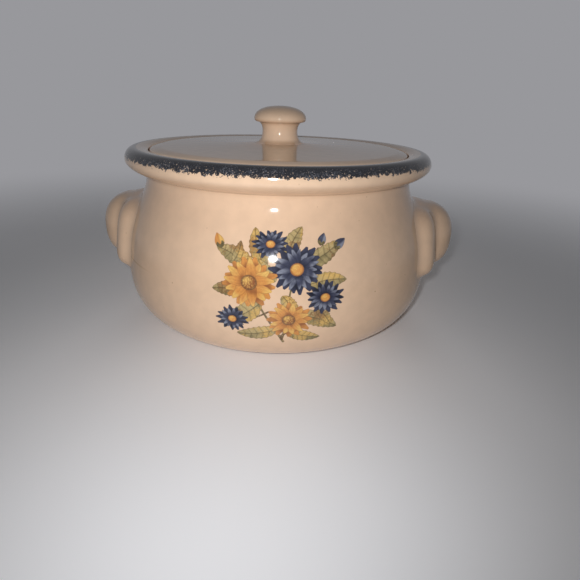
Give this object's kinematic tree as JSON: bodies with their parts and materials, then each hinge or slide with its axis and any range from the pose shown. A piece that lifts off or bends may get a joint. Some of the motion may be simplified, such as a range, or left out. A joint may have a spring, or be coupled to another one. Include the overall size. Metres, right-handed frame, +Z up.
{
  "type": "lidded bean pot",
  "caption": "Round-bellied glazed stoneware bean pot with a rolled rim, lug handles and a drop-in lid that lifts off by its knob.",
  "frame": {"origin": "centre of the foot, on the surface that the pot stands on", "axes": "+Z up along the pot's axis, +X along the line through both handles, -Y towards the decorated front"},
  "size_m": [0.2656, 0.2266, 0.1484],
  "materials": {
    "body_glaze": "glossy warm tan glaze with a sponged slate-blue rim",
    "handle_glaze": "glossy warm tan glaze",
    "lid_glaze": "glossy warm tan glaze",
    "knob_glaze": "glossy warm tan glaze"
  },
  "bodies": {
    "pot": {"pot_body": "body_glaze", "right_handle": "handle_glaze", "left_handle": "handle_glaze"},
    "lid": {"lid": "lid_glaze", "lid_knob": "knob_glaze"}
  },
  "joints": [
    {"name": "lid_lift", "type": "slide", "parent": "pot", "child": "lid", "axis": [0, 0, 1], "range_m": [0, 0.15]}
  ]
}
